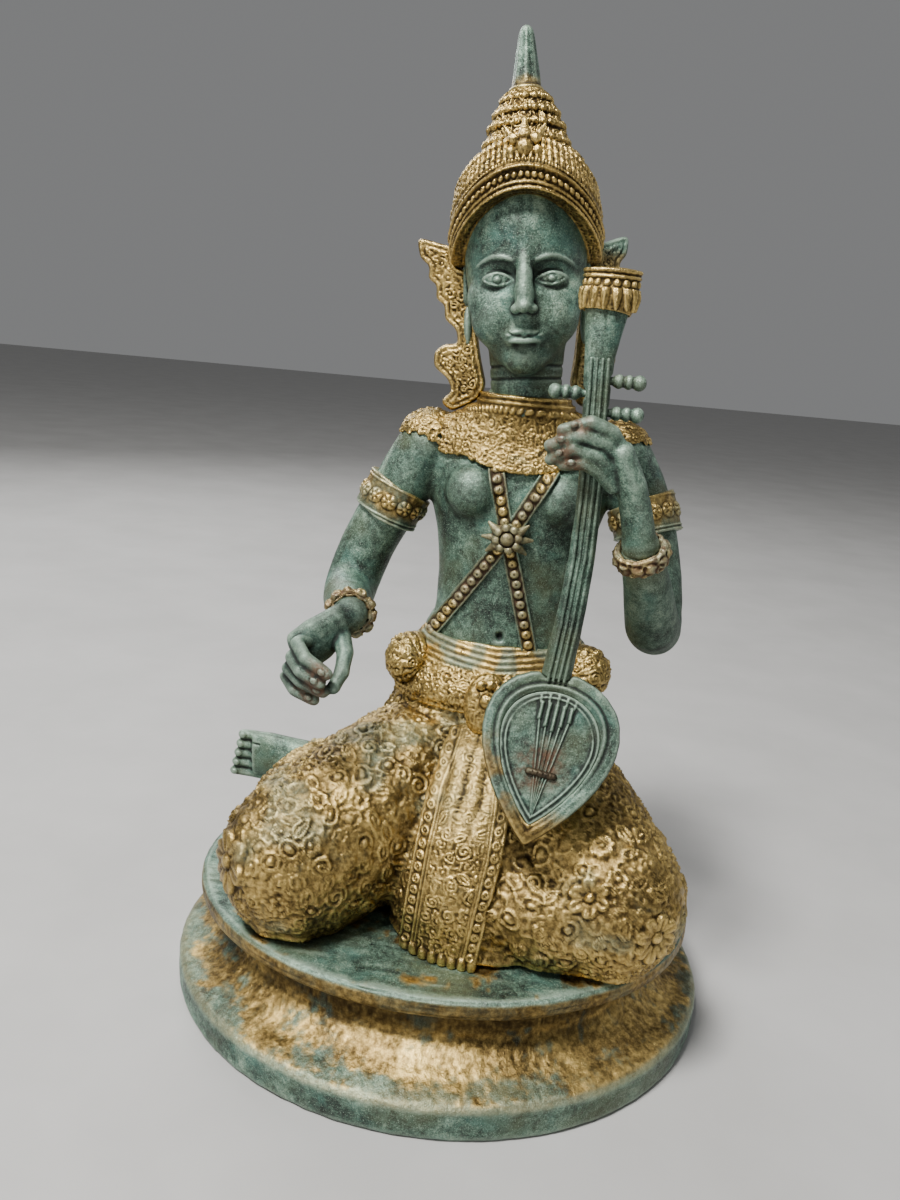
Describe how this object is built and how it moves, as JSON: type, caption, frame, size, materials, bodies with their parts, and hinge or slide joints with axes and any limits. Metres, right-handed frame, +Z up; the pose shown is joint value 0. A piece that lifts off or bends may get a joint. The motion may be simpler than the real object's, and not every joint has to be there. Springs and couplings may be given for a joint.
{
  "type": "seated musician figurine",
  "caption": "Bronze figurine of a crowned musician sitting side-saddle on a hollow oval plinth and playing a pear-shaped lute; stands free on its rim.",
  "frame": {"origin": "centre of the oval foot of the plinth, on the surface it stands on", "axes": "+Z up along the height, the figure faces -Y, its right hand is at -X"},
  "size_m": [0.148, 0.132, 0.25],
  "materials": {
    "green_bronze": "matt blue-green patina with worn edges",
    "gilt_bronze": "worn dull gilding with dark recesses",
    "plinth_bronze": "brushed gilding over a green patinated rim",
    "dark_bronze": "dark oxidised bronze"
  },
  "bodies": {
    "root": {"base_plinth": "plinth_bronze", "base_slab": "green_bronze", "base_bolts": "dark_bronze", "sarong_hips": "gilt_bronze", "sarong_right_leg": "gilt_bronze", "sarong_left_leg": "gilt_bronze", "apron_panel": "gilt_bronze", "right_foot": "green_bronze", "torso": "green_bronze", "collar": "gilt_bronze", "chest_straps": "gilt_bronze", "chest_brooch": "gilt_bronze", "belt": "gilt_bronze", "belt_buckle": "gilt_bronze", "right_hip_roll": "gilt_bronze", "left_hip_roll": "gilt_bronze", "right_arm": "green_bronze", "left_arm": "green_bronze", "right_armlet": "gilt_bronze", "left_armlet": "gilt_bronze", "right_bracelet": "gilt_bronze", "left_bracelet": "gilt_bronze", "right_hand": "green_bronze", "left_hand": "green_bronze", "head": "green_bronze", "right_ear_ornament": "gilt_bronze", "left_ear_ornament": "gilt_bronze", "diadem": "gilt_bronze", "crown_cone": "gilt_bronze", "crown_finial": "green_bronze", "lute_bowl": "green_bronze", "lute_soundboard": "green_bronze", "lute_neck": "green_bronze", "lute_head_collar": "gilt_bronze", "lute_strings": "green_bronze", "lute_bridge": "dark_bronze", "lute_peg_left": "green_bronze", "lute_peg_upper_right": "green_bronze", "lute_peg_lower_right": "green_bronze"}
  },
  "joints": []
}
